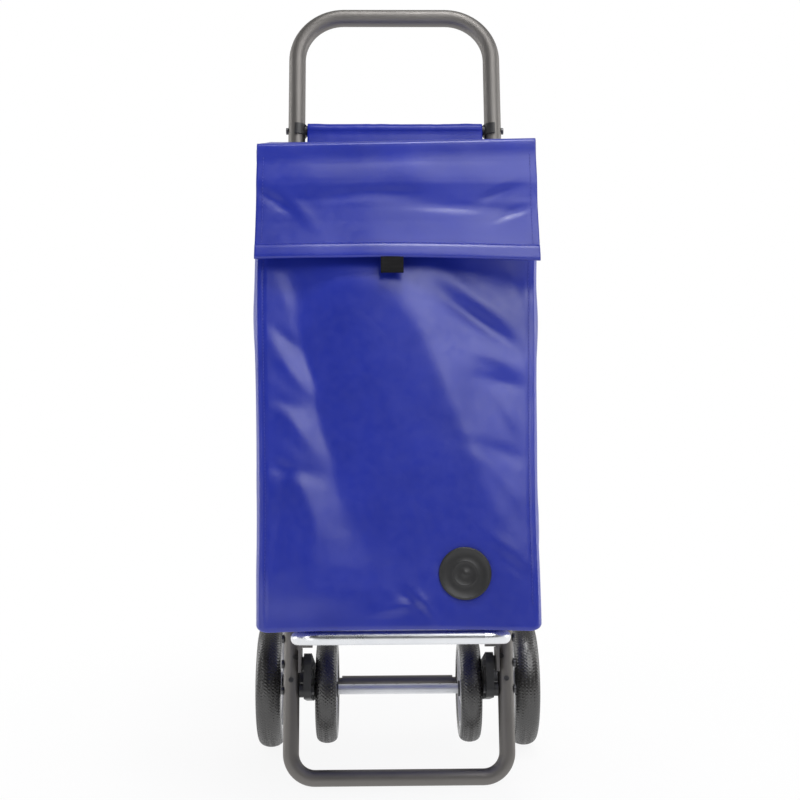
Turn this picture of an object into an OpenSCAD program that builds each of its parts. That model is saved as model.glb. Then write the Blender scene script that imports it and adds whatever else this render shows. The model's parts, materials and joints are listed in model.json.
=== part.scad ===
// Folding shopping trolley: a leaning two-tube frame, a fold-up tray, a fabric bag with a
// hinged lid, two main wheels and two smaller raised wheels. Millimetres, +X to the right,
// -Y to the front, +Z up, origin on the floor below the middle of the whole trolley.

/* [Frame] */
// Backward lean of the frame from the vertical, in degrees
frame_lean = 14; // [12:0.5:16]
// Distance between the two legs, centre to centre
leg_spacing = 268; // [266:1:276]
// Length of the frame along its legs, from the foot bar to the handle bar
frame_length = 1018; // [1000:1:1040]
// Outer diameter of the lower, foot tube
foot_tube_d = 20; // [19:0.5:20]
// Outer diameter of the upper, handle tube
handle_tube_d = 23; // [23:0.5:25]
// Wall thickness of both frame tubes
tube_wall = 1.4; // [1.2:0.1:1.4]
// Centreline bend radius of the foot corners
foot_bend = 30; // [26:1:40]
// Centreline bend radius of the handle corners
handle_bend = 64; // [50:1:70]
// Height along the legs at which the handle tube starts
socket_start = 400; // [390:1:420]
// Length of foot tube that sits inside the handle tube
socket_depth = 60; // [50:1:80]

/* [Tray] */
// Height of the tray tube along the legs
tray_height = 169; // [168:0.5:171]
// Distance from the legs to the tray's front bar, centre to centre
tray_reach = 212; // [200:1:216]
// Diameter of the tray tube
tray_tube_d = 15.5; // [14:0.5:15.5]
// Sideways gap between a tray side tube and the leg beside it
tray_side_gap = 2; // [1.5:0.5:3]
// Centreline bend radius of the tray corners
tray_bend = 24; // [20:1:30]

/* [Wheels] */
// Diameter of the two main wheels
main_wheel_d = 168; // [166:1:172]
// Distance from the foot bar back to the main axle, along the floor
main_axle_back = 161.6; // [160:0.2:166]
// Diameter of the main axle
main_axle_d = 12; // [12:0.5:13]
// Diameter of the two raised wheels
aux_wheel_d = 134; // [126:1:136]
// Distance from the foot bar back to the raised axle, along the floor
aux_axle_back = 86; // [82:0.5:86]
// Height of the raised axle above the floor
aux_axle_height = 96; // [94:0.5:98]
// Diameter of the raised axle
aux_axle_d = 12.7; // [12:0.1:13]

/* [Bag] */
// Width of the bag
bag_width = 320; // [310:1:322]
// Depth of the bag, from its back to its front
bag_depth = 207; // [200:1:207]
// Height of the bag's bottom along the legs
bag_bottom_z = 177.5; // [177.5:0.5:179]
// Height of the bag's front rim along the legs
front_rim_z = 736; // [730:1:737]
// Height of the lid's hinge line along the legs
lid_hinge_z = 824; // [822:1:826]
// Height of the bag's crossbar along the legs
crossbar_z = 850; // [848:1:860]
// Width of the lid
lid_width = 326; // [324:1:332]
// Length of the flap that hangs down from the lid's front edge
flap_length = 148; // [130:1:160]
// Diameter of the round badge
badge_d = 57.5; // [50:0.5:60]

/* [Hidden] */
$fn = 64;

graphite = [0.27, 0.27, 0.28];
zinc = [0.78, 0.80, 0.84];
black_plastic = [0.06, 0.06, 0.07];
tyre_black = [0.05, 0.05, 0.05];
hub_grey = [0.74, 0.74, 0.75];
bag_blue = [0.12, 0.14, 0.62];
board_grey = [0.35, 0.35, 0.36];

running_gap = 0.05;      // radial clearance of a turning fit
part_gap = 0.4;          // clearance between pieces that move past each other
through = 1;             // how far a cut runs past the face that it opens

foot_y = -41;            // the foot bar's centre, which puts the origin mid-depth
leg_x = leg_spacing / 2;
foot_r = foot_tube_d / 2;
handle_r = handle_tube_d / 2;
leg_inner_x = leg_x - foot_r;
leg_outer_x = leg_x + foot_r;
tube_joint_z = socket_start + socket_depth / 2;

bolt_d = 6;
bolt_head_d = 11;
bolt_head_h = 2.5;
nut_h = 5;
thin_nut_h = 3;
washer_d = 12;
spacer_d = 18;
rivet_d = 5;
rivet_head_d = 9;
rivet_head_h = 1.6;
collar_height = 14;
collar_wall = 1.2;
leg_screw_d = 3.5;
leg_screw_head_d = 6.5;
leg_screw_head_h = 1.6;
leg_screw_depth = 4;
leg_screw_socket = 1;
leg_screw_socket_d = 2.5;
leg_screw_places = [[-30, 146.5], [0, 119]];  // degrees round the leg, height up it

crossbar_d = 10;
crossbar_end = leg_x - handle_r - 2;
crossbar_screw_d = 5;
crossbar_screw_depth = 12;
crossbar_head_h = 3;
clamp_d = 15;
clamp_wall = 2;
clamp_wrap = 2;

tray_r = tray_tube_d / 2;
tray_wall = 1.2;
tray_tail = 10;
tray_x = leg_inner_x - tray_side_gap - tray_r;
tray_crossbar_y = -110;
tray_crossbar_d = 12;
tray_spigot_d = 10;
tray_spigot_gap = 1;
plug_length = 5;
plug_head = 2;
tray_swing_r = norm([tray_tail + plug_head, tray_r]);
hinge_nut_x = tray_x - tray_r - part_gap;

plate_x = 109;
plate_thick = 9.5;
plate_outer_x = plate_x + plate_thick;
plate_hub_r = 19;
plate_aux_r = 14;
plate_leg_r = 13;
plate_low_r = 11;
boss_end_x = 151;
lightening_d = 18;
lightening_shares = [0.3, 0.55];
lightening_drop = 3;

// places in the leaning frame's own side view, as [back, up]
main_axle = frame_place(main_axle_back, main_wheel_d / 2);
aux_axle = frame_place(aux_axle_back, aux_axle_height);
upper_bolt = [0, 138];
lower_bolt = [0, 106];
tray_hinge = [0, tray_height];

stop_thick = 3;
stop_front = -32;
stop_back = 9;
stop_low = upper_bolt.y - 10;
stop_top = tray_height - tray_r - part_gap;
stop_ledge_in = 14;
stop_ledge_depth = 15;

main_tyre_w = 33;
main_wheel_x = 169.5;
main_rim_r = 62;
main_boss_d = 30;
main_boss_x = 156;
main_boss_end = 181;
bush_wall = 4;
aux_tyre_w = 27;
aux_wheel_x = 91.5;
aux_rim_r = 50;
aux_boss_d = 30;
aux_boss_x = 80;
aux_boss_end = 103;
aux_axle_end = plate_outer_x + 4;
axle_hole_d = 4;
axle_holes_each_side = 2;
axle_hole_pitch = 28;
axle_hole_shift = -1.5;
main_axle_end = 184;
sleeve_tube_d = 17;
sleeve_tube_half = 75;
axle_spacer_d = 22;
push_nut_d = 20;
push_nut_h = 2;
tyre_shoulder = 7;
rim_wall = 6;
main_rim_w = 28;
main_recess = 4.5;
aux_rim_w = 23;
aux_recess = 3;
cap_d = 36;
cap_start = main_wheel_x + main_rim_w / 2 - main_recess;
cap_end = 185.8;
cap_floor = 1.2;

fabric = 2.4;
bag_back_y = -13;
bag_front_y = bag_back_y - bag_depth;
rim_back_z = lid_hinge_z - 5;
sleeve_d = 20;
sleeve_half = 119;
lid_hinge_y = -18;
lid_inset = 3.2;
lid_front_y = bag_front_y - 3.5;
lid_front_z = front_rim_z + 5;
lid_slope = atan2(lid_hinge_z - lid_front_z, lid_hinge_y - lid_front_y);
lid_length = norm([lid_hinge_y - lid_front_y, lid_hinge_z - lid_front_z]);
hem_height = 16;
tab_x = -7.6;
tab_width = 26;
tab_drop = 18;
badge_x = 72;
badge_z = 237;
badge_thick = 4.5;
stud_x = 101;
stud_front_y = bag_front_y + 32;
stud_back_y = bag_back_y - 50;
stud_d = 8;
stud_drop = 5;
board_gap = 3;
board_thick = 3;
strip_rise = 3;
badge_ring_shares = [0.2, 0.36];
ring_width = 2;
ring_depth = 1;
badge_washer_d = 34;
badge_washer_thick = 1.5;
piping_d = 4;
piping_inset = 2;
flap_low_z = lid_front_z - flap_length;
hem_thick = 1;

// a point given along the floor and up from it, in the leaning frame's side view
function frame_place(back, up) = [
  back * cos(frame_lean) - (up - foot_tube_d / 2) * sin(frame_lean),
  back * sin(frame_lean) + (up - foot_tube_d / 2) * cos(frame_lean)
];

// ---- building helpers ----

// the leaning frame's own coordinates: X across, Y back from the legs, Z along the legs
module leaned() {
  translate([0, foot_y, foot_tube_d / 2]) rotate([-frame_lean, 0, 0]) children();
}

module both_sides() {
  children();
  mirror([1, 0, 0]) children();
}

module side(right) {
  mirror([right ? 0 : 1, 0, 0]) children();
}

// a round bar across the frame, from x0 to x1, at a [back, up] place
module cross_rod(d, x0, x1, at) {
  translate([x0, at.x, at.y]) rotate([0, 90, 0]) cylinder(d = d, h = x1 - x0);
}

module cross_ring(d, bore, x0, x1, at) {
  difference() {
    cross_rod(d, x0, x1, at);
    cross_rod(bore, x0 - through, x1 + through, at);
  }
}

module cross_hex(width, x0, x1, at) {
  translate([x0, at.x, at.y]) rotate([0, 90, 0]) cylinder(d = width, h = x1 - x0, $fn = 6);
}

// a side-view outline, drawn as [back, up], made x1 - x0 wide across the frame
module side_slab(x0, x1) {
  translate([x0, 0, 0]) rotate([90, 0, 90]) linear_extrude(x1 - x0) children();
}

module tube_profile(d, wall) {
  difference() {
    circle(d = d);
    circle(d = d - 2 * wall);
  }
}

// a U of tube in the leg plane, its bar on the X axis and its legs going up
module u_tube(d, wall, bend, leg_end) {
  translate([bend - leg_x, 0, 0]) rotate([0, 90, 0])
    linear_extrude(2 * (leg_x - bend)) tube_profile(d, wall);
  both_sides() {
    translate([leg_x - bend, 0, bend]) rotate([-90, 0, 0])
      rotate_extrude(angle = 90) translate([bend, 0]) tube_profile(d, wall);
    translate([leg_x, 0, bend]) linear_extrude(leg_end - bend) tube_profile(d, wall);
  }
}

// two round ends joined by their common tangents
module link_outline(p, p_r, q, q_r) {
  along = (q - p) / norm(q - p);
  across = [-along.y, along.x];
  lean = (p_r - q_r) / norm(q - p);
  off = sqrt(1 - lean * lean);
  translate(p) circle(p_r);
  translate(q) circle(q_r);
  polygon([
    p + p_r * (lean * along + off * across),
    q + q_r * (lean * along + off * across),
    q + q_r * (lean * along - off * across),
    p + p_r * (lean * along - off * across)
  ]);
}

module round_corner_outline(w, h, r) {
  translate([r, 0]) square([w - 2 * r, h]);
  translate([0, r]) square([w, h - 2 * r]);
  for (x = [r, w - r], y = [r, h - r]) translate([x, y]) circle(r);
}

// ---- frame ----

module lower_frame() {
  color(graphite) leaned() difference() {
    u_tube(foot_tube_d, tube_wall, foot_bend, socket_start + socket_depth);
    both_sides() {
      for (at = [tray_hinge, upper_bolt, lower_bolt])
        cross_rod(bolt_d + 2 * running_gap, leg_inner_x - through, leg_outer_x + through, at);
      cross_rod(rivet_d, leg_inner_x - through, leg_outer_x + through, [0, tube_joint_z]);
      leg_screw_rods(leg_screw_d + 2 * running_gap, 0);
    }
  }
}

module upper_frame() {
  color(graphite) leaned() difference() {
    translate([0, 0, frame_length]) mirror([0, 0, 1])
      u_tube(handle_tube_d, tube_wall, handle_bend, frame_length - socket_start);
    both_sides() {
      cross_rod(rivet_d, leg_x - handle_r - through, leg_x + handle_r + through, [0, tube_joint_z]);
      cross_rod(crossbar_screw_d, leg_x - handle_r - through, leg_x + handle_r + through,
                [0, crossbar_z]);
    }
  }
}

module frame_rivets() {
  color(zinc) leaned() both_sides() {
    cross_rod(rivet_d, leg_x - handle_r, leg_x + handle_r, [0, tube_joint_z]);
    cross_rod(rivet_head_d, leg_x + handle_r, leg_x + handle_r + rivet_head_h, [0, tube_joint_z]);
    cross_rod(rivet_head_d, leg_x - handle_r - rivet_head_h, leg_x - handle_r, [0, tube_joint_z]);
  }
}

// plastic rings that close the step where the foot tube enters the handle tube
module tube_collars() {
  color(black_plastic) leaned() both_sides()
    translate([leg_x, 0, socket_start - collar_height]) difference() {
      cylinder(r = handle_r + collar_wall, h = 2 * collar_height);
      translate([0, 0, -through]) cylinder(d = foot_tube_d, h = 3 * collar_height);
      translate([0, 0, collar_height]) cylinder(r = handle_r, h = 2 * collar_height);
    }
}

module crossbar() {
  color(graphite) leaned() difference() {
    cross_rod(crossbar_d, -crossbar_end, crossbar_end, [0, crossbar_z]);
    both_sides()
      cross_rod(crossbar_screw_d, crossbar_end - crossbar_screw_depth, crossbar_end + through,
                [0, crossbar_z]);
  }
}

// plastic saddles that seat the crossbar's ends against the legs
module crossbar_clamps() {
  color(black_plastic) leaned() both_sides() difference() {
    union() {
      cross_rod(clamp_d, sleeve_half + part_gap, leg_x, [0, crossbar_z]);
      translate([leg_x, 0, crossbar_z - clamp_d / 2])
        cylinder(r = handle_r + clamp_wall, h = clamp_d);
    }
    translate([leg_x, 0, crossbar_z - clamp_d]) cylinder(r = handle_r, h = 2 * clamp_d);
    translate([leg_x + clamp_wrap, -2 * handle_r, crossbar_z - clamp_d])
      cube([2 * handle_r, 4 * handle_r, 2 * clamp_d]);
    cross_rod(crossbar_d, 0, crossbar_end, [0, crossbar_z]);
    cross_rod(crossbar_screw_d, 0, leg_x, [0, crossbar_z]);
  }
}

module crossbar_screws() {
  color(zinc) leaned() both_sides() {
    cross_rod(crossbar_screw_d, crossbar_end - crossbar_screw_depth, leg_x + handle_r,
              [0, crossbar_z]);
    cross_rod(rivet_head_d, leg_x + handle_r, leg_x + handle_r + crossbar_head_h, [0, crossbar_z]);
  }
}

// ---- axle plates and what holds them ----

module axle_plate_outline() {
  link_outline(upper_bolt, plate_leg_r, main_axle, plate_hub_r);
  link_outline(upper_bolt, plate_leg_r, lower_bolt, plate_low_r);
  link_outline(lower_bolt, plate_low_r, aux_axle, plate_aux_r);
  link_outline(aux_axle, plate_aux_r, main_axle, plate_hub_r);
  polygon([upper_bolt, lower_bolt, aux_axle, main_axle]);
}

module axle_plates() {
  color(black_plastic) leaned() both_sides() difference() {
    union() {
      side_slab(plate_x, plate_outer_x) axle_plate_outline();
      cross_rod(2 * plate_hub_r, plate_x, boss_end_x, main_axle);
    }
    cross_rod(main_axle_d, plate_x - through, boss_end_x + through, main_axle);
    cross_rod(aux_axle_d, plate_x - through, plate_outer_x + through, aux_axle);
    for (at = [upper_bolt, lower_bolt])
      cross_rod(bolt_d + 2 * running_gap, plate_x - through, plate_outer_x + through, at);
    for (share = lightening_shares)
      cross_rod(lightening_d, plate_x - through, plate_outer_x + through,
                upper_bolt + share * (main_axle - upper_bolt) - [0, lightening_drop]);
  }
}

module bolt_set(from_x) {
  for (at = [upper_bolt, lower_bolt]) {
    cross_rod(bolt_d, from_x, leg_outer_x, at);
    cross_rod(bolt_head_d, leg_outer_x, leg_outer_x + bolt_head_h, at);
  }
}

module plate_bolts() {
  color(zinc) leaned() both_sides() bolt_set(plate_x - thin_nut_h);
}

module plate_nuts() {
  color(zinc) leaned() both_sides() for (at = [upper_bolt, lower_bolt]) difference() {
    cross_hex(bolt_head_d, plate_x - thin_nut_h, plate_x, at);
    cross_rod(bolt_d, plate_x - thin_nut_h - through, plate_x + through, at);
  }
}

module plate_spacers() {
  color(black_plastic) leaned() both_sides() {
    cross_ring(spacer_d, bolt_d, plate_outer_x, leg_inner_x - stop_thick, upper_bolt);
    cross_ring(spacer_d, bolt_d, plate_outer_x, leg_inner_x, lower_bolt);
  }
}

// rods of diameter d that stand out of each leg as far as a screw's head does, less short_by
module leg_screw_rods(d, short_by) {
  for (at = leg_screw_places)
    translate([leg_x, 0, at.y]) rotate([90, 0, at.x]) translate([0, 0, foot_r - leg_screw_depth])
      cylinder(d = d, h = leg_screw_depth + leg_screw_head_h - short_by);
}

// small screws in the front of each leg
module leg_screws() {
  color(zinc) leaned() both_sides() {
    leg_screw_rods(leg_screw_d, leg_screw_socket);
    difference() {
      leg_screw_rods(leg_screw_head_d, 0);
      translate([leg_x, 0, 0]) cylinder(d = foot_tube_d, h = socket_start);
      difference() {
        leg_screw_rods(leg_screw_socket_d, 0);
        leg_screw_rods(leg_screw_d, leg_screw_socket);
      }
    }
  }
}

// steel angles on the legs, which the opened tray rests on
module tray_stops() {
  color(graphite) leaned() both_sides() difference() {
    union() {
      translate([leg_inner_x - stop_thick, stop_front, stop_low])
        cube([stop_thick, stop_back - stop_front, stop_top - stop_low]);
      translate([leg_inner_x - stop_thick - stop_ledge_in, stop_front, stop_top - stop_thick])
        cube([stop_ledge_in + stop_thick, stop_ledge_depth, stop_thick]);
    }
    cross_rod(bolt_d, leg_inner_x - stop_thick - through, leg_inner_x + through, upper_bolt);
    cross_rod(2 * (tray_swing_r + part_gap), tray_x, leg_inner_x + through, tray_hinge);
  }
}

// ---- tray ----

module tray_bend_profile() {
  tube_profile(tray_tube_d, tray_wall);
}

module tray_loop() {
  color(zinc) leaned() difference() {
    translate([0, 0, tray_height]) {
      translate([tray_bend - tray_x, -tray_reach, 0]) rotate([0, 90, 0])
        linear_extrude(2 * (tray_x - tray_bend)) tray_bend_profile();
      both_sides() {
        translate([tray_x - tray_bend, tray_bend - tray_reach, 0]) rotate([0, 0, -90])
          rotate_extrude(angle = 90) translate([tray_bend, 0]) tray_bend_profile();
        translate([tray_x, tray_bend - tray_reach, 0]) rotate([-90, 0, 0])
          linear_extrude(tray_reach - tray_bend + tray_tail) tray_bend_profile();
      }
    }
    both_sides()
      cross_rod(bolt_d + 2 * running_gap, tray_x - tray_tube_d, tray_x + tray_tube_d, tray_hinge);
    both_sides()
      cross_rod(tray_spigot_d, tray_x - tray_tube_d, tray_x, [tray_crossbar_y, tray_height]);
  }
}

module tray_crossbar() {
  color(zinc) leaned() difference() {
    union() {
      cross_rod(tray_spigot_d, -tray_x, tray_x, [tray_crossbar_y, tray_height]);
      cross_rod(tray_crossbar_d, tray_r - tray_x, tray_x - tray_r, [tray_crossbar_y, tray_height]);
    }
    both_sides() translate([tray_x, tray_crossbar_y - tray_tube_d, tray_height]) rotate([-90, 0, 0])
      difference() {
        cylinder(d = tray_tube_d, h = 2 * tray_tube_d);
        cylinder(d = tray_tube_d - 2 * tray_wall - tray_spigot_gap, h = 2 * tray_tube_d);
        translate([-tray_tube_d, -tray_tube_d, -through])
          cube([tray_tube_d, 2 * tray_tube_d, 3 * tray_tube_d]);
      }
  }
}

module tray_plugs() {
  color(black_plastic) leaned() both_sides() translate([tray_x, tray_tail, tray_height])
    rotate([-90, 0, 0]) {
      translate([0, 0, -plug_length]) cylinder(d = tray_tube_d - 2 * tray_wall, h = plug_length);
      cylinder(d = tray_tube_d, h = plug_head);
    }
}

module hinge_bolts() {
  color(zinc) leaned() both_sides() {
    cross_rod(bolt_d, hinge_nut_x - nut_h, leg_outer_x, tray_hinge);
    cross_rod(bolt_head_d, leg_outer_x, leg_outer_x + bolt_head_h, tray_hinge);
  }
}

module hinge_nuts() {
  color(zinc) leaned() both_sides() difference() {
    cross_hex(bolt_head_d, hinge_nut_x - nut_h, hinge_nut_x, tray_hinge);
    cross_rod(bolt_d, hinge_nut_x - nut_h - through, hinge_nut_x + through, tray_hinge);
  }
}

module hinge_washers() {
  color(black_plastic) leaned() both_sides()
    cross_ring(washer_d, bolt_d, leg_inner_x - tray_side_gap + part_gap, leg_inner_x, tray_hinge);
}

// ---- axles ----

module main_axle() {
  color(graphite) leaned() cross_rod(main_axle_d, -main_axle_end, main_axle_end, main_axle);
}

module main_axle_sleeve() {
  color(graphite) leaned()
    cross_ring(sleeve_tube_d, main_axle_d, -sleeve_tube_half, sleeve_tube_half, main_axle);
}

module main_axle_spacers() {
  color(black_plastic) leaned() both_sides()
    cross_ring(axle_spacer_d, main_axle_d, boss_end_x, main_boss_x - part_gap, main_axle);
}

module main_push_nuts() {
  color(zinc) leaned() both_sides()
    cross_ring(push_nut_d, main_axle_d, main_boss_end + part_gap,
               main_boss_end + part_gap + push_nut_h, main_axle);
}

module aux_axle() {
  color(zinc) leaned() difference() {
    cross_rod(aux_axle_d, -aux_axle_end, aux_axle_end, aux_axle);
    for (n = [-axle_holes_each_side:axle_holes_each_side])
      translate([axle_hole_shift + n * axle_hole_pitch, aux_axle.x, aux_axle.y])
        cylinder(d = axle_hole_d, h = aux_axle_d);
  }
}

module aux_axle_spacers() {
  color(black_plastic) leaned() both_sides()
    cross_ring(axle_spacer_d, aux_axle_d, aux_boss_end + part_gap, plate_x, aux_axle);
}

module aux_retainers() {
  color(zinc) leaned() both_sides()
    cross_ring(push_nut_d, aux_axle_d, aux_boss_x - part_gap - push_nut_h,
               aux_boss_x - part_gap, aux_axle);
}

module aux_push_nuts() {
  color(zinc) leaned() both_sides()
    cross_ring(push_nut_d, aux_axle_d, plate_outer_x, plate_outer_x + push_nut_h, aux_axle);
}

// ---- wheels, each made round the X axis at the origin and then put on its axle ----

module on_axle(x, at) {
  leaned() translate([x, at.x, at.y]) rotate([0, 90, 0]) children();
}

module tyre(outer_r, rim_r, w) {
  rotate_extrude() translate([rim_r, -w / 2])
    round_corner_outline(outer_r - rim_r, w, tyre_shoulder);
}

// rim, thick web and boss; the boss runs from low to high about the wheel's middle
module hub(rim_r, rim_w, recess, boss_d, low, high, bush_d) {
  difference() {
    union() {
      rotate_extrude() translate([rim_r - rim_wall, -rim_w / 2]) square([rim_wall, rim_w]);
      translate([0, 0, recess - rim_w / 2]) cylinder(r = rim_r - rim_wall, h = rim_w - 2 * recess);
      translate([0, 0, low]) cylinder(d = boss_d, h = high - low);
    }
    translate([0, 0, low - through]) cylinder(d = bush_d, h = high - low + 2 * through);
  }
}

module bush(d, axle_d, low, high) {
  translate([0, 0, low]) difference() {
    cylinder(d = d, h = high - low);
    translate([0, 0, -through]) cylinder(d = axle_d + 2 * running_gap, h = high - low + 2 * through);
  }
}

module main_tyre() {
  on_axle(main_wheel_x, main_axle) tyre(main_wheel_d / 2, main_rim_r, main_tyre_w);
}

module main_hub() {
  on_axle(main_wheel_x, main_axle)
    hub(main_rim_r, main_rim_w, main_recess, main_boss_d, main_boss_x - main_wheel_x,
        main_boss_end - main_wheel_x, main_axle_d + 2 * bush_wall);
}

module main_bush() {
  on_axle(main_wheel_x, main_axle)
    bush(main_axle_d + 2 * bush_wall, main_axle_d, main_boss_x - main_wheel_x,
         main_boss_end - main_wheel_x);
}

// a push-on cap over the boss, which hides the axle's end
module main_cap() {
  on_axle(0, main_axle) difference() {
    translate([0, 0, cap_start]) cylinder(d = cap_d, h = cap_end - cap_start);
    translate([0, 0, cap_start - through])
      cylinder(d = main_boss_d, h = cap_end - cap_floor - cap_start + through);
  }
}

module aux_tyre() {
  on_axle(aux_wheel_x, aux_axle) tyre(aux_wheel_d / 2, aux_rim_r, aux_tyre_w);
}

module aux_hub() {
  on_axle(aux_wheel_x, aux_axle)
    hub(aux_rim_r, aux_rim_w, aux_recess, aux_boss_d, aux_boss_x - aux_wheel_x,
        aux_boss_end - aux_wheel_x, aux_axle_d + 2 * bush_wall);
}

module aux_bush() {
  on_axle(aux_wheel_x, aux_axle)
    bush(aux_axle_d + 2 * bush_wall, aux_axle_d, aux_boss_x - aux_wheel_x,
         aux_boss_end - aux_wheel_x);
}

// ---- bag ----

module bag_back() {
  color(bag_blue) leaned()
    translate([-bag_width / 2, bag_back_y - fabric, bag_bottom_z])
      cube([bag_width, fabric, rim_back_z - bag_bottom_z]);
}

module bag_front() {
  color(bag_blue) leaned()
    translate([-bag_width / 2, bag_front_y, bag_bottom_z])
      cube([bag_width, fabric, front_rim_z - bag_bottom_z]);
}

// the side panels' top edges fall from the back rim to the front rim
module bag_side() {
  back = bag_back_y - fabric;
  front = bag_front_y + fabric;
  color(bag_blue) leaned() side_slab(bag_width / 2 - fabric, bag_width / 2) polygon([
    [back, bag_bottom_z], [front, bag_bottom_z], [front, front_rim_z], [back, rim_back_z]
  ]);
}

module bag_bottom() {
  color(bag_blue) leaned()
    translate([fabric - bag_width / 2, bag_front_y + fabric, bag_bottom_z])
      cube([bag_width - 2 * fabric, bag_depth - 2 * fabric, fabric]);
}

// a loop of cloth round the crossbar, with the strip that carries the bag's back
module bag_sleeve() {
  color(bag_blue) leaned() difference() {
    union() {
      cross_rod(sleeve_d, -sleeve_half, sleeve_half, [0, crossbar_z]);
      side_slab(-sleeve_half, sleeve_half) polygon([
        [-sleeve_d / 2, crossbar_z], [0, crossbar_z - sleeve_d / 2],
        [bag_back_y, rim_back_z + strip_rise], [bag_back_y, rim_back_z],
        [bag_back_y - fabric, rim_back_z]
      ]);
    }
    cross_rod(crossbar_d, -sleeve_half - through, sleeve_half + through, [0, crossbar_z]);
  }
}

module base_board() {
  color(board_grey) leaned()
    translate([fabric + board_gap - bag_width / 2, bag_front_y + fabric + board_gap,
               bag_bottom_z + fabric])
      cube([bag_width - 2 * (fabric + board_gap), bag_depth - 2 * (fabric + board_gap), board_thick]);
}

module bag_studs() {
  color(black_plastic) leaned() both_sides() for (y = [stud_front_y, stud_back_y])
    translate([stud_x, y, bag_bottom_z - stud_drop]) cylinder(d = stud_d, h = stud_drop);
}

module facing_front(x, y, z) {
  translate([x, y, z]) rotate([90, 0, 0]) children();
}

// a plain disc with a raised middle and two ring grooves
module badge() {
  color(black_plastic) leaned() facing_front(badge_x, bag_front_y, badge_z) difference() {
    cylinder(d = badge_d, h = badge_thick);
    for (r = badge_d * badge_ring_shares)
      translate([0, 0, badge_thick - ring_depth]) rotate_extrude()
        translate([r, 0]) square([ring_width, ring_depth + through]);
  }
}

module badge_washer() {
  color(black_plastic) leaned()
    facing_front(badge_x, bag_front_y + fabric + badge_washer_thick, badge_z)
      cylinder(d = badge_washer_d, h = badge_washer_thick);
}

// ---- lid ----

module lid_piping() {
  color(bag_blue) leaned()
    cross_rod(piping_d, piping_inset - bag_width / 2, bag_width / 2 - piping_inset,
              [lid_hinge_y, lid_hinge_z]);
}

module lid_top() {
  color(bag_blue) leaned() side_slab(-lid_width / 2, lid_width / 2)
    translate([lid_hinge_y, lid_hinge_z]) rotate(lid_slope) translate([-lid_length, -fabric / 2])
      square([lid_length - lid_inset, fabric]);
}

module lid_flap() {
  color(bag_blue) leaned()
    translate([-lid_width / 2, lid_front_y - fabric, flap_low_z])
      cube([lid_width, fabric, flap_length]);
}

module lid_hem() {
  color(bag_blue) leaned()
    translate([-lid_width / 2, lid_front_y - fabric - hem_thick, flap_low_z])
      cube([lid_width, hem_thick, hem_height]);
}

module pull_tab() {
  color(black_plastic) leaned()
    translate([tab_x - tab_width / 2, lid_front_y - fabric, flap_low_z - tab_drop])
      cube([tab_width, fabric, tab_drop]);
}

lower_frame();
upper_frame();
frame_rivets();
tube_collars();
crossbar();
crossbar_clamps();
crossbar_screws();
axle_plates();
plate_bolts();
plate_nuts();
plate_spacers();
leg_screws();
tray_stops();
hinge_bolts();
hinge_nuts();
hinge_washers();
tray_loop();
tray_crossbar();
tray_plugs();
main_axle();
main_axle_sleeve();
main_axle_spacers();
main_push_nuts();
aux_axle();
aux_axle_spacers();
aux_retainers();
aux_push_nuts();
color(tyre_black) side(false) main_tyre();  // main_tyre_left
color(hub_grey) side(false) main_hub();  // main_hub_left
color(black_plastic) side(false) main_bush();  // main_bush_left
color(hub_grey) side(false) main_cap();  // main_cap_left
color(tyre_black) side(true) main_tyre();  // main_tyre_right
color(hub_grey) side(true) main_hub();  // main_hub_right
color(black_plastic) side(true) main_bush();  // main_bush_right
color(hub_grey) side(true) main_cap();  // main_cap_right
color(tyre_black) side(false) aux_tyre();  // aux_tyre_left
color(hub_grey) side(false) aux_hub();  // aux_hub_left
color(black_plastic) side(false) aux_bush();  // aux_bush_left
color(tyre_black) side(true) aux_tyre();  // aux_tyre_right
color(hub_grey) side(true) aux_hub();  // aux_hub_right
color(black_plastic) side(true) aux_bush();  // aux_bush_right
bag_back();
bag_front();
side(false) bag_side();  // bag_left
side(true) bag_side();  // bag_right
bag_bottom();
bag_sleeve();
base_board();
bag_studs();
badge();
badge_washer();
lid_piping();
lid_top();
lid_flap();
lid_hem();
pull_tab();
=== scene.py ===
# The looks of the folding shopping trolley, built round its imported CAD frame. Metres.
import json
import math

import bpy
import numpy as np
from mathutils import Matrix, Vector, noise


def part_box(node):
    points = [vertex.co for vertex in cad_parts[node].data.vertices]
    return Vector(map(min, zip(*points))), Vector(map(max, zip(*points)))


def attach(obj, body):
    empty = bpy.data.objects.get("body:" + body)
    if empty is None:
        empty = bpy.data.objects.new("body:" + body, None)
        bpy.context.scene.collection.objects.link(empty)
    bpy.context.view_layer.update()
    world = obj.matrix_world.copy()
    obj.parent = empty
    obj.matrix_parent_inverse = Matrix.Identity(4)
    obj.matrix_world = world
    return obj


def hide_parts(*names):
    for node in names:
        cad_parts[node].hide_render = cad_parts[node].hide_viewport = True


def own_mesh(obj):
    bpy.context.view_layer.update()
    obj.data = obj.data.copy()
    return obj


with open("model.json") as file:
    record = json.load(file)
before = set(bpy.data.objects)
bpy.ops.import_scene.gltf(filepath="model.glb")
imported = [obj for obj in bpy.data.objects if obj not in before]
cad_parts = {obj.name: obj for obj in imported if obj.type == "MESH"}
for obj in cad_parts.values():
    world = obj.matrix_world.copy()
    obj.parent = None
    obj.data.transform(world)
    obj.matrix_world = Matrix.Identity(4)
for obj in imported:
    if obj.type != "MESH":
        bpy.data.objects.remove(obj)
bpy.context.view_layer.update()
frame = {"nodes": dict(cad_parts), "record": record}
NODES = frame["nodes"]
MM = 0.001

# ---------------------------------------------------------------- the leaning frame
# Local places are (x, back, up): across, back from the legs, and along them.

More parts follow.
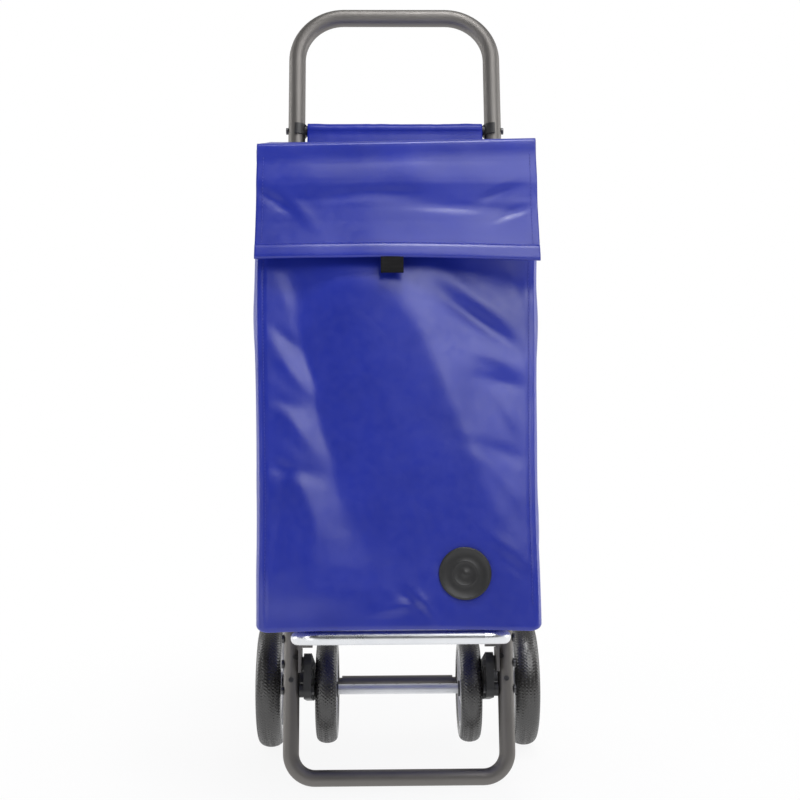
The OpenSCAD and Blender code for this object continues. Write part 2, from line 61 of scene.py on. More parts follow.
LEAN = math.radians(14)
FOOT_TUBE_R = 10 * MM
ORIGIN = np.array([0.0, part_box("lower_frame")[0][1] + FOOT_TUBE_R, FOOT_TUBE_R])
AXES = np.array(
    [
        [1.0, 0.0, 0.0],
        [0.0, math.cos(LEAN), -math.sin(LEAN)],
        [0.0, math.sin(LEAN), math.cos(LEAN)],
    ]
)


def place(points):
    """Turns local places, one per row, into the world's."""
    return ORIGIN + np.asarray(points, float) @ AXES


def local_box(*names):
    """The lowest and highest local corners of some CAD nodes."""
    found = []
    for name in names:
        mesh = NODES[name].data
        flat = np.empty(len(mesh.vertices) * 3)
        mesh.vertices.foreach_get("co", flat)
        found.append((flat.reshape(-1, 3) - ORIGIN) @ AXES.T)
    points = np.vstack(found)
    return points.min(0), points.max(0)


def smooth_step(x, low, high):
    t = np.clip((np.asarray(x, float) - low) / (high - low), 0, 1)
    return t * t * (3 - 2 * t)


def soft_noise(points, size, seed):
    """Smooth noise from -1 to 1 at each point, with lumps about size across."""
    shift = Vector((seed * 7.3, seed * 3.1, seed * 5.7))
    return np.array([noise.noise(Vector(p) / size + shift) for p in points])


# ---------------------------------------------------------------- meshes


def finish_mesh(name, vertices, faces, uvs=None, smooth=True):
    """Makes an object from world vertices, with a corner map in metres if uvs is given."""
    mesh = bpy.data.meshes.new(name)
    mesh.from_pydata([tuple(v) for v in vertices], [], faces)
    mesh.polygons.foreach_set("use_smooth", [smooth] * len(mesh.polygons))
    if uvs is not None:
        layer = mesh.uv_layers.new(name="cloth")
        corner = np.empty(len(mesh.loops), int)
        mesh.loops.foreach_get("vertex_index", corner)
        layer.data.foreach_set("uv", np.asarray(uvs, float)[corner].ravel())
    mesh.update()
    piece = bpy.data.objects.new(name, mesh)
    bpy.context.scene.collection.objects.link(piece)
    return piece


def run_lengths(points, axis):
    """How far along each row of a grid its points lie, in metres."""
    steps = np.linalg.norm(np.diff(points, axis=axis), axis=2)
    total = np.cumsum(steps, axis=axis)
    return np.concatenate([np.zeros_like(np.take(total, [0], axis)), total], axis=axis)


def grid_piece(name, grid, closed=False, material=None, body="frame"):
    """A sheet from a grid of local places, rows first. A closed one joins its last column to its first."""
    grid = np.asarray(grid, float)
    rows, columns = grid.shape[:2]
    along = run_lengths(grid, 1).mean(0)
    up = run_lengths(grid, 0).mean(1)
    uvs = [(along[c], up[r]) for r in range(rows) for c in range(columns)]
    last = columns if closed else columns - 1
    faces = []
    for r in range(rows - 1):
        for c in range(last):
            a, b = r * columns + c, r * columns + (c + 1) % columns
            faces.append((a, b, b + columns, a + columns))
    piece = finish_mesh(name, place(grid.reshape(-1, 3)), faces, uvs)
    if material:
        piece.data.materials.append(material)
    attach(piece, body)
    return piece


def thicken(piece, thickness, offset=-1.0):
    """Gives a sheet its thickness: inward at offset -1, half to each side at 0."""
    shell = piece.modifiers.new("thickness", "SOLIDIFY")
    shell.thickness = thickness
    shell.offset = offset
    shell.use_even_offset = True
    apply_modifiers(piece)


def apply_modifiers(piece):
    """Turns the piece's modifiers into plain mesh."""
    bpy.context.view_layer.update()
    graph = bpy.context.evaluated_depsgraph_get()
    mesh = bpy.data.meshes.new_from_object(piece.evaluated_get(graph))
    piece.modifiers.clear()
    piece.data = mesh


def lathe(name, profile, at, spin_axis, up_axis, segments=96, material=None, body="frame"):
    """Spins (radius, along) points round spin_axis through at, both in the world."""
    spin = Vector(spin_axis).normalized()
    first = Vector(up_axis).normalized()
    second = spin.cross(first)
    vertices = []
    faces = []
    count = len(profile)
    for s in range(segments):
        turn = 2 * math.pi * s / segments
        outward = first * math.cos(turn) + second * math.sin(turn)
        vertices += [Vector(at) + outward * r + spin * a for r, a in profile]
        for k in range(count - 1):
            p, q = s * count + k, (s + 1) % segments * count + k
            faces.append((p, q, q + 1, p + 1))
    piece = finish_mesh(name, vertices, faces)
    if material:
        piece.data.materials.append(material)
    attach(piece, body)
    return piece


def in_metres(profile):
    """A profile given in millimetres, in metres."""
    return [(radius * MM, along * MM) for radius, along in profile]


def stitch_row(name, path, material, body, outward, pitch=4.2 * MM, length=2.9 * MM, radius=0.38 * MM):
    """Short rounded threads laid along a path of local places, standing a little proud of the cloth."""
    path = np.asarray(path, float)
    run = np.concatenate([[0], np.cumsum(np.linalg.norm(np.diff(path, axis=0), axis=1))])
    starts = np.arange(pitch / 2, run[-1] - length, pitch)
    sides = 6
    rings = [(0.0, 0.2), (0.12, 0.8), (0.5, 1.0), (0.88, 0.8), (1.0, 0.2)]
    outward = np.asarray(outward, float)
    vertices, faces = [], []
    for start in starts:
        ends = [
            np.array([np.interp(start + e * length, run, path[:, k]) for k in range(3)]) for e in (0, 1)
        ]
        line = ends[1] - ends[0]
        across = np.cross(line / np.linalg.norm(line), outward)
        across /= np.linalg.norm(across)
        base = len(vertices)
        for share, width in rings:
            centre = ends[0] + line * share + outward * radius * 0.5
            for s in range(sides):
                turn = 2 * math.pi * s / sides
                offset = across * math.cos(turn) + outward * math.sin(turn)
                vertices.append(centre + offset * radius * width)
        for r in range(len(rings) - 1):
            for s in range(sides):
                a, b = base + r * sides + s, base + r * sides + (s + 1) % sides
                faces.append((a, b, b + sides, a + sides))
        faces.append(tuple(base + s for s in reversed(range(sides))))
        faces.append(tuple(base + (len(rings) - 1) * sides + s for s in range(sides)))
    piece = finish_mesh(name, place(vertices), faces)
    piece.data.materials.append(material)
    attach(piece, body)
    return piece


# ---------------------------------------------------------------- materials


def map_range(tree, value, given, wanted, smooth=False):
    """Maps a node's value from the given (low, high) onto the wanted (low, high)."""
    node = tree.nodes.new("ShaderNodeMapRange")
    node.interpolation_type = "SMOOTHSTEP" if smooth else "LINEAR"
    for socket, number in zip(("From Min", "From Max", "To Min", "To Max"), (*given, *wanted)):
        node.inputs[socket].default_value = number
    tree.links.new(value, node.inputs["Value"])
    return node.outputs["Result"]


class Recipe:
    """A node material in the making: a Principled shader and short ways to add to it."""

    def __init__(self, name, colour, roughness, metallic=0.0):
        self.material = bpy.data.materials.new(name)
        self.material.use_nodes = True
        self.tree = self.material.node_tree
        self.shader = self.tree.nodes["Principled BSDF"]
        self.shader.inputs["Metallic"].default_value = metallic
        self.shader.inputs["Base Color"].default_value = (*colour, 1)
        self.shader.inputs["Roughness"].default_value = roughness
        self.coordinates = self.tree.nodes.new("ShaderNodeTexCoord")

    def specular(self, level):
        self.shader.inputs["Specular IOR Level"].default_value = level

    def math(self, operation, *values):
        """A maths node, whose inputs are numbers or other nodes' outputs."""
        node = self.tree.nodes.new("ShaderNodeMath")
        node.operation = operation
        for slot, value in enumerate(values):
            if isinstance(value, (int, float)):
                node.inputs[slot].default_value = value
            else:
                self.tree.links.new(value, node.inputs[slot])
        return node.outputs[0]

    def noise(self, size, detail=3.0):
        """Noise with lumps of about size metres."""
        node = self.tree.nodes.new("ShaderNodeTexNoise")
        node.inputs["Scale"].default_value = 1 / size
        node.inputs["Detail"].default_value = detail
        self.tree.links.new(self.coordinates.outputs["Object"], node.inputs["Vector"])
        return node.outputs["Fac"]

    def spread(self, value, low, high):
        """Maps 0.3 to 0.7, where noise mostly lies, onto low to high."""
        return map_range(self.tree, value, (0.3, 0.7), (low, high))

    def colour_between(self, factor, dark, light):
        node = self.tree.nodes.new("ShaderNodeMix")
        node.data_type = "RGBA"
        node.inputs["A"].default_value = (*dark, 1)
        node.inputs["B"].default_value = (*light, 1)
        self.tree.links.new(factor, node.inputs["Factor"])
        self.tree.links.new(node.outputs["Result"], self.shader.inputs["Base Color"])

    def roughness_from(self, factor, low, high):
        self.tree.links.new(self.spread(factor, low, high), self.shader.inputs["Roughness"])

    def bump(self, height, distance, strength=1.0):
        """Adds a bump of this depth in metres, on top of any before it."""
        node = self.tree.nodes.new("ShaderNodeBump")
        node.inputs["Distance"].default_value = distance
        node.inputs["Strength"].default_value = strength
        self.tree.links.new(height, node.inputs["Height"])
        before = self.shader.inputs["Normal"]
        if before.is_linked:
            self.tree.links.new(before.links[0].from_socket, node.inputs["Normal"])
        self.tree.links.new(node.outputs["Normal"], before)

    def glow_from(self, near, far, glow_at_near):
        """Makes the surface glow white, from a share of it at near to all of it at far metres out."""
        length = self.tree.nodes.new("ShaderNodeVectorMath")
        length.operation = "LENGTH"
        self.tree.links.new(self.coordinates.outputs["Object"], length.inputs[0])
        out = length.outputs["Value"]
        share = map_range(self.tree, out, (near, far), (glow_at_near, 1.0), smooth=True)
        glow = self.tree.nodes.new("ShaderNodeEmission")
        mix = self.tree.nodes.new("ShaderNodeMixShader")
        self.tree.links.new(share, mix.inputs["Fac"])
        self.tree.links.new(self.shader.outputs[0], mix.inputs[1])
        self.tree.links.new(glow.outputs[0], mix.inputs[2])
        self.tree.links.new(mix.outputs[0], self.tree.nodes["Material Output"].inputs["Surface"])

    def ribs(self, pitch, k):
        """Ribs from the cloth's own map, across its direction k."""
        split = self.tree.nodes.new("ShaderNodeSeparateXYZ")
        self.tree.links.new(self.coordinates.outputs["UV"], split.inputs[0])
        return self.math("SINE", self.math("MULTIPLY", split.outputs[k], 2 * math.pi / pitch))

    def weave(self, pitch):
        """Plain weave: threads over and under at this pitch."""
        return self.math("MULTIPLY", self.ribs(pitch, 0), self.ribs(pitch, 1))


def bag_cloth(name="bag_cloth", shine=0.7):
    dark, light = (0.010, 0.023, 0.31), (0.014, 0.029, 0.365)
    cloth = Recipe(name, light, 0.4)
    cloth.specular(shine)
    cloth.colour_between(cloth.spread(cloth.noise(60 * MM, 4.0), 0, 1), dark, light)
    cloth.roughness_from(cloth.noise(9 * MM, 4.0), 0.33, 0.41)
    cloth.bump(cloth.noise(16 * MM, 2.0), 0.3 * MM, 0.35)
    cloth.bump(cloth.weave(1.5 * MM), 0.03 * MM, 0.5)
    return cloth.material


def thread():
    made = Recipe("blue_thread", (0.05, 0.06, 0.42), 0.6)
    made.bump(made.noise(0.6 * MM), 0.1 * MM)
    made.colour_between(made.noise(5 * MM), (0.035, 0.045, 0.34), (0.07, 0.085, 0.50))
    return made.material


def webbing():
    made = Recipe("black_webbing", (0.006, 0.006, 0.007), 0.8)
    made.specular(0.25)
    made.colour_between(made.noise(3 * MM), (0.004, 0.004, 0.005), (0.009, 0.009, 0.01))
    made.bump(made.ribs(1.6 * MM, 1), 0.25 * MM, 0.8)
    made.bump(made.ribs(0.9 * MM, 0), 0.12 * MM, 0.6)
    return made.material


def graphite_metal():
    made = Recipe("graphite_tube", (0.20, 0.19, 0.182), 0.5, metallic=1.0)
    made.colour_between(made.noise(60 * MM, 3.0), (0.18, 0.172, 0.164), (0.225, 0.214, 0.204))
    made.roughness_from(made.noise(30 * MM, 3.0), 0.5, 0.56)
    return made.material


def zinc_plate(name, low, high, metallic=1.0):
    made = Recipe(name, (0.78, 0.79, 0.82), low, metallic=metallic)
    made.colour_between(made.noise(30 * MM, 4.0), (0.70, 0.72, 0.76), (0.86, 0.87, 0.88))
    made.roughness_from(made.noise(25 * MM, 3.0), low, high)
    return made.material


def dark_zinc():
    made = Recipe("dark_zinc", (0.1, 0.1, 0.105), 0.4, metallic=1.0)
    made.colour_between(made.noise(8 * MM), (0.08, 0.08, 0.084), (0.13, 0.13, 0.135))
    made.roughness_from(made.noise(4 * MM), 0.34, 0.46)
    return made.material


def black_plastic(name="black_plastic", grey=0.022, low=0.36, high=0.5, grain=0.04):
    made = Recipe(name, (grey, grey, grey * 1.05), 0.42)
    made.colour_between(
        made.noise(25 * MM), (grey * 0.8, grey * 0.8, grey * 0.85), (grey * 1.3, grey * 1.3, grey * 1.35)
    )
    made.roughness_from(made.noise(20 * MM), low, high)
    made.bump(made.noise(0.7 * MM, 2.0), grain * MM, 0.5)
    return made.material


def tyre_rubber():
    made = Recipe("tyre_rubber", (0.03, 0.03, 0.03), 0.3)
    made.specular(1.0)
    made.colour_between(made.noise(20 * MM, 4.0), (0.018, 0.017, 0.017), (0.030, 0.028, 0.027))
    made.roughness_from(made.noise(6 * MM, 4.0), 0.22, 0.32)
    made.bump(made.noise(0.8 * MM, 3.0), 0.05 * MM, 0.5)
    return made.material


def hub_plastic():
    made = Recipe("hub_plastic", (0.62, 0.62, 0.63), 0.4)
    made.colour_between(made.noise(30 * MM), (0.56, 0.56, 0.57), (0.67, 0.67, 0.68))
    made.roughness_from(made.noise(4 * MM), 0.32, 0.46)
    made.bump(made.noise(0.9 * MM, 2.0), 0.03 * MM, 0.5)
    return made.material


def base_board_material():
    made = Recipe("board", (0.08, 0.08, 0.085), 0.6)
    made.colour_between(made.noise(12 * MM, 5.0), (0.06, 0.06, 0.065), (0.10, 0.10, 0.105))
    made.bump(made.noise(1.6 * MM, 3.0), 0.15 * MM, 0.6)
    return made.material


CLOTH = bag_cloth()
SLEEVE_CLOTH = bag_cloth("sleeve_cloth", 0.25)
THREAD = thread()
WEBBING = webbing()
GRAPHITE = graphite_metal()
ZINC = zinc_plate("zinc_plate", 0.24, 0.34)
SATIN_ZINC = zinc_plate("satin_zinc", 0.38, 0.48, metallic=0.55)
FASTENER = dark_zinc()
BLACK = black_plastic()
BADGE = black_plastic("badge_plastic", 0.02, 0.42, 0.48, grain=0.01)
RUBBER = tyre_rubber()
HUB = hub_plastic()
BOARD = base_board_material()

FINISH = {
    "graphite_tube": GRAPHITE,
    "zinc_tube": ZINC,
    "zinc_fastener": FASTENER,
    "black_plastic": BLACK,
    "tyre": RUBBER,
    "hub_grey": HUB,
    "bag_fabric": CLOTH,
    "board": BOARD,
    "badge_plastic": BADGE,
    "webbing": WEBBING,
}


def finish_cad_nodes():
    """Gives each CAD part the material of its slot."""
    for entry in frame["record"]["subparts"]:
        mesh = NODES[entry["node"]].data
        mesh.materials.clear()
        finish = SATIN_ZINC if entry["node"] == "aux_axle" else FINISH[entry["material_slot"]]
        mesh.materials.append(finish)


# ---------------------------------------------------------------- the bag

BAG_LOW, BAG_HIGH = local_box("bag_back", "bag_front", "bag_left", "bag_right", "bag_bottom")
BAG_BACK = BAG_HIGH[1]
BAG_FRONT = BAG_LOW[1]
BAG_FLOOR = BAG_LOW[2]
FRONT_RIM = local_box("bag_front")[1][2]
BACK_RIM = local_box("bag_back")[1][2]
CLOTH_THICK = 1.4 * MM
CORNER_R = 11 * MM
FLOOR_R = 6 * MM
FLOOR_LIFT = 0.6 * MM
PANEL_INSET = 1 * MM
SEAM_FROM_EDGE = 4 * MM
STITCHES_FROM_EDGE = 2.6 * SEAM_FROM_EDGE
HANGS_LEFT = 2 * MM
BACK_HALF_WIDTH = 157 * MM
FRONT_HALF_WIDTH = 156 * MM
WIDER_AT_LID = 8 * MM
# Above FLAT_FROM the front lies ever flatter, and from FLAT_TO it is flat under the lid's flap
FLAT_FROM = 590 * MM
FLAT_TO = 640 * MM
BAG_STEPS = {"corner": 12, "side": 44, "front": 132, "back": 32, "rows": 126, "floor": 14, "floor_edge": 6}

# Soft folds of the front: (x, up, direction in degrees, half length, half width, height), in mm.
# A direction of 0 runs to the right and 90 runs up. Height is outward.
FRONT_FOLDS = [
    (-128, 552, -62, 42, 13, 2.2),
    (-132, 505, -38, 26, 8, -2.6),
    (-118, 462, -48, 40, 10, 2.6),
    (-134, 428, -20, 24, 8, -2.4),
    (-112, 398, -50, 46, 11, 2.4),
    (-128, 352, -12, 34, 9, -3.0),
    (-104, 322, -68, 50, 12, 2.2),
    (-134, 268, 86, 54, 9, -1.6),
    (-92, 262, 84, 58, 12, 1.6),
    (86, 556, -36, 58, 12, 3.0),
    (96, 524, -34, 56, 10, -4.2),
    (142, 566, -66, 26, 9, -2.6),
    (118, 478, -20, 34, 9, 2.0),
    (128, 452, -8, 36, 8, -2.2),
    (132, 410, -58, 30, 9, 2.2),
    (112, 372, -14, 44, 9, -1.6),
    (126, 330, -50, 52, 10, 1.8),
    (120, 262, -40, 34, 9, 2.0),
    (136, 238, -44, 26, 7, -2.2),
    (0, 203, 12, 30, 6, 2.2),
    (16, 206, -38, 22, 5, -2.0),
    (30, 200, -52, 20, 5, 2.0),
    (-70, 214, 3, 80, 12, 1.2),
]
# The ridge and the valley of the long diagonal hollow: (x, up), in mm
RIDGE = [(-75, 590), (0, 556), (42, 490), (66, 420), (94, 345), (124, 278), (152, 225)]
VALLEY = [(-122, 590), (-110, 500), (-92, 420), (-76, 350), (-52, 282), (0, 248), (60, 232), (152, 196)]


def fold_heights(x, up, folds):
    """The sum of soft rounded folds at places given in millimetres."""
    total = np.zeros_like(x)
    for fold_x, fold_up, direction, half_length, half_width, height in folds:
        turn = math.radians(direction)
        along = (x - fold_x) * math.cos(turn) + (up - fold_up) * math.sin(turn)
        across = -(x - fold_x) * math.sin(turn) + (up - fold_up) * math.cos(turn)
        total += height * np.exp(-((along / half_length) ** 2) - (across / half_width) ** 2)
    return total


def line_height(x, line):
    """How far up a falling diagonal line is at x, with its corners rounded off."""
    beyond = 100
    rise_before, fall_after = 90, 60
    rounding = 26
    across, up = np.array(line, float).T
    across = np.concatenate([[across[0] - beyond], across, [across[-1] + beyond]])
    up = np.concatenate([[up[0] + rise_before], up, [up[-1] - fall_after]])
    shifts = np.linspace(-rounding, rounding, 9)
    return np.mean([np.interp(x + shift, across, up) for shift in shifts], axis=0)


def soft_bend(distance, rounding):
    """About zero below 0 and rising with slope 1 above it, with a rounded corner."""
    return (distance + np.sqrt(distance**2 + rounding**2)) / 2


def front_swell(x, up):
    """How far the bag's front stands out from its flat panel, in metres, with x and up in metres."""
    x, up = x / MM, up / MM
    seam, floor, span = 155, 180, 420
    belly_depth = 4.0
    edge = np.clip(1 - (np.abs(x) / seam) ** 2, 0, 1)
    height = np.clip((up - floor) / span, 0, 1)
    belly = belly_depth * edge * (1 - 0.8 * height)
    # the lines fall steeply, so the distance from them is less than the height above them
    square_to_line = 0.62
    above_ridge = (up - line_height(x, RIDGE)) * square_to_line
    above_valley = (up - line_height(x, VALLEY)) * square_to_line
    # the hollow faces down between its valley and its ridge, and the cloth faces up beyond both
    tilt = 0.07
    upper_depth, upper_reach = 29.0, 150
    lower_depth, lower_reach = 15.0, 85
    hollow = tilt * (soft_bend(above_valley, 14) - soft_bend(above_ridge, 10))
    upper = upper_depth * (np.exp(-soft_bend(above_ridge, 12) / upper_reach) - 1)
    lower = lower_depth * (1 - np.exp(-soft_bend(-above_valley, 20) / lower_reach))
    diagonal = hollow + upper + lower
    near_floor = 0.3 + 0.7 * smooth_step(up, 172, 250)
    below_flap = 1 - smooth_step(up, 560, 640)
    small = fold_heights(x, up, FRONT_FOLDS) * smooth_step(edge, 0, 0.4)
    small = small * (1 - smooth_step(up, FLAT_FROM / MM, FLAT_TO / MM))
    return ((belly + diagonal * near_floor) * below_flap + 0.9 * small) * MM


def half_width(up):
    """The bag's half width at its front, which grows a little towards the lid."""
    return FRONT_HALF_WIDTH + WIDER_AT_LID * smooth_step(up / MM, 260, 610)


def plan_outline(up):
    """One turn round the bag at height up, anticlockwise from above, starting at its back left."""
    front_w, back_w = half_width(up), BACK_HALF_WIDTH
    back, front = BAG_BACK - PANEL_INSET, BAG_FRONT + PANEL_INSET
    r = CORNER_R

    def corner(cx, cy, start):
        steps = BAG_STEPS["corner"]
        turn = np.radians(start + 90 * np.arange(steps) / steps)
        return np.stack([cx + r * np.cos(turn), cy + r * np.sin(turn)], 1)

    def straight(a, b, panel):
        share = np.arange(BAG_STEPS[panel])[:, None] / BAG_STEPS[panel]
        return np.array(a) * (1 - share) + np.array(b) * share

    return np.vstack(
        [
            corner(-back_w + r, back - r, 90),
            straight((-back_w, back - r), (-front_w, front + r), "side"),
            corner(-front_w + r, front + r, 180),
            straight((-front_w + r, front), (front_w - r, front), "front"),
            corner(front_w - r, front + r, 270),
            straight((front_w, front + r), (back_w, back - r), "side"),
            corner(back_w - r, back - r, 0),
            straight((back_w - r, back), (-back_w + r, back), "back"),
        ]
    )


def rim_height(back):
    """How far up the bag's rim is, which rises from its front to its back."""
    return FRONT_RIM + (BACK_RIM - FRONT_RIM) * smooth_step(back, BAG_FRONT, BAG_BACK)


def bag_surface():
    """The bag's grid of local places: rows from the middle of its floor up to its rim."""
    flat = plan_outline(BAG_FLOOR)
    middle = flat.mean(0)
    lifted = BAG_FLOOR + FLOOR_LIFT
    middle_to_edge = 0.13
    floor_share = FLOOR_R / middle_to_edge
    rows = []

    def floor_row(share, up):
        rows.append(np.column_stack([middle + (flat - middle) * share, np.full(len(flat), up)]))

    for share in np.linspace(0.02, 1, BAG_STEPS["floor"])[:-1]:
        floor_row(share * (1 - floor_share), lifted)
    for turn in np.radians(np.linspace(0, 78, BAG_STEPS["floor_edge"])):
        floor_row(1 - floor_share * (1 - math.sin(turn)), lifted + FLOOR_R * (1 - math.cos(turn)))
    low = lifted + FLOOR_R
    for share in np.linspace(0, 1, BAG_STEPS["rows"]):
        outline = plan_outline(BAG_FLOOR + share * (FRONT_RIM - BAG_FLOOR))
        top = rim_height(outline[:, 1])
        rows.append(np.column_stack([outline, low + share * (top - low)]))
    return np.array(rows)


def shape_bag(grid):
    """Adds the swell, the folds and the seams to the plain bag."""
    shape = grid.shape
    flat = grid.reshape(-1, 3)
    x, back, up = flat.T
    from_edge = half_width(up) - np.abs(x)
    low, high = BAG_FRONT + PANEL_INSET, BAG_BACK - PANEL_INSET
    on_front = smooth_step(low + 7 * MM - back, 0, 6 * MM)
    depth_share = np.clip((back - low) / (high - low), 0, 1)
    on_side = smooth_step(np.abs(x), 0.140, 0.152) * smooth_step(depth_share, 0.02, 0.12)
    on_side = on_side * smooth_step(1 - depth_share, 0.02, 0.10)
    off_floor = smooth_step(up, BAG_FLOOR + 2 * MM, BAG_FLOOR + 26 * MM)
    at_floor = 1 - smooth_step(up, BAG_FLOOR, BAG_FLOOR + 60 * MM)
    out = flat.copy()
    # the front's swell fades out towards the back, and the cloth rumples where no flap covers it
    swell = front_swell(x, up) * (1 - depth_share) ** 2
    rumple = soft_noise(flat, 55 * MM, 1) * 1.4 * MM + soft_noise(flat, 22 * MM, 2) * 0.5 * MM
    rumple = rumple * (1 - smooth_step(up, FLAT_FROM, FLAT_TO))
    out[:, 1] -= swell + on_front * rumple * off_floor * 0.6
    # the sides swell between their seams, with a soft crease down the middle and slack folds
    middle = np.exp(-(((depth_share - 0.5) / 0.07) ** 2))
    side_swell = 4.0 * MM * np.sin(np.pi * depth_share) - 2.6 * MM * middle
    slack = soft_noise(np.column_stack([x, back, up * 0.45]), 38 * MM, 3) * 2.2 * MM
    bend = soft_noise(flat, 90 * MM, 4) * 2.2
    diagonal = np.sin((up * 0.9 + back * 1.3) / MM / 31 + bend) * 1.1 * MM
    out[:, 0] += np.sign(x) * on_side * off_floor * (side_swell + slack + diagonal)
    # a raised welt and its row of stitches where the front is sewn to each side
    welt = np.exp(-(((from_edge - SEAM_FROM_EDGE) / (1.3 * MM)) ** 2)) * on_front
    groove = np.exp(-(((from_edge - STITCHES_FROM_EDGE) / (1.6 * MM)) ** 2)) * on_front
    out[:, 1] -= (welt * 1.5 - groove * 0.8) * MM * off_floor
    # the front's lower edge hangs a little in front of the tray, less so in its middle
    hang = 4.2 * MM * smooth_step(-back, -BAG_FRONT - 14 * MM, -BAG_FRONT)
    arch = 2.6 * MM * np.clip(1 - (x / 0.150) ** 2, 0, 1) * smooth_step(-back, 0.14, -BAG_FRONT)
    out[:, 2] += (arch - hang) * at_floor
    # the hem of the rim stands proud
    top = rim_height(back)
    hem = smooth_step(up, top - 16 * MM, top - 15 * MM) * 0.8 * MM
    out[:, 1] -= hem * on_front
    out[:, 0] += np.sign(x) * hem * on_side - HANGS_LEFT
    return out.reshape(shape)


def goes_flat(piece):
    """Gives the piece a mesh of its own. Nothing here flattens or folds it."""
    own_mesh(piece)


def make_bag():
    """The bag in one shell, with the rows of stitches beside its front seams."""
    bag = grid_piece("bag", shape_bag(bag_surface()), closed=True, material=CLOTH)
    thicken(bag, CLOTH_THICK)
    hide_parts("bag_back", "bag_front", "bag_left", "bag_right", "bag_bottom")
    goes_flat(bag)
    for side, sign in (("left", -1), ("right", 1)):
        up = np.linspace(BAG_FLOOR + 24 * MM, FRONT_RIM - 6 * MM, 160)
        x = sign * (half_width(up) - STITCHES_FROM_EDGE)
        back = BAG_FRONT + PANEL_INSET - front_swell(x, up) + 0.2 * MM
        path = np.column_stack([x - HANGS_LEFT, back, up])
        row = stitch_row(f"seam_stitches_{side}", path, THREAD, "frame", (0, -1, 0))
        goes_flat(row)


def make_board():
    """The stiff board in the bag's bottom, with rounded corners and eased edges."""
    low, high = local_box("base_board")
    inset = 1.5 * MM
    r = 12 * MM
    w, d = (high[0] - low[0]) / 2 - inset, (high[1] - low[1]) / 2 - inset
    centre = (low[1] + high[1]) / 2
    outline = []
    for cx, cy, start in ((w - r, d - r, 0), (r - w, d - r, 90), (r - w, r - d, 180), (w - r, r - d, 270)):
        for turn in np.radians(start + np.linspace(0, 90, 9)):
            outline.append((cx + r * math.cos(turn), cy + r * math.sin(turn)))
    outline = np.array(outline)
    edge = 0.8 * MM
    thick = high[2] - low[2]
    hole = 0.02
    eased = 1 - edge / w
    section = ((hole, 0), (eased, 0), (1, edge), (1, thick - edge), (eased, thick), (hole, thick))
    rings = []
    for share, lift in section:
        ring = outline * share
        ups = np.full(len(ring), low[2] + 0.8 * MM + lift)
        rings.append(np.column_stack([ring[:, 0], ring[:, 1] + centre, ups]))
    board = grid_piece("base_board_panel", rings, closed=True, material=BOARD)
    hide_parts("base_board")
    goes_flat(board)


def make_studs():
    low, high = local_box("bag_studs")
    r = 4 * MM
    profile = [(0, -4.6), (2.6, -4.4), (3.7, -3.5), (4.0, -2.0), (4.0, 0.6), (0, 0.6)]
    for x_name, x in (("left", low[0] + r), ("right", high[0] - r)):
        for y_name, y in (("front", low[1] + r), ("back", high[1] - r)):
            at = place([(x, y, high[2])])[0]
            stud = lathe(f"stud_{x_name}_{y_name}", in_metres(profile), at, AXES[2], AXES[0], 32, BLACK)
            if (x_name, y_name) == ("left", "front"):
                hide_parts("bag_studs")
            goes_flat(stud)


def make_badge():
    """A round badge that sits on the swollen front, with a raised rim, a rib and a boss."""
    low, high = local_box("badge")
    centre_x, centre_up = (low[0] + high[0]) / 2, (low[2] + high[2]) / 2
    r = (high[0] - low[0]) / 2 / MM
    swell = float(front_swell(np.array([centre_x]), np.array([centre_up]))[0])
    at = place([(centre_x - HANGS_LEFT, high[1] - swell + 1.2 * MM, centre_up)])[0]
    ring = r * 0.46
    wall = [(r * 0.98, 0), (r, 0.6), (r, 2.8)]
    rim = [(r - 0.5, 3.6), (r - 1.4, 4.1), (r - 2.4, 4.0), (r - 3.0, 3.2)]
    rib = [(ring + 1.6, 3.1), (ring + 0.8, 3.5), (ring, 3.9), (ring - 0.8, 3.5), (ring - 1.6, 3.0)]
    boss = [(3.4, 3.0), (2.8, 3.5), (1.6, 3.8), (0.0, 3.9)]
    badge = lathe("badge_disc", in_metres(wall + rim + rib + boss), at, -AXES[1], AXES[0], 128, BADGE)
    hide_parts("badge", "badge_washer")
    goes_flat(badge)


# ---------------------------------------------------------------- the sleeve round the crossbar


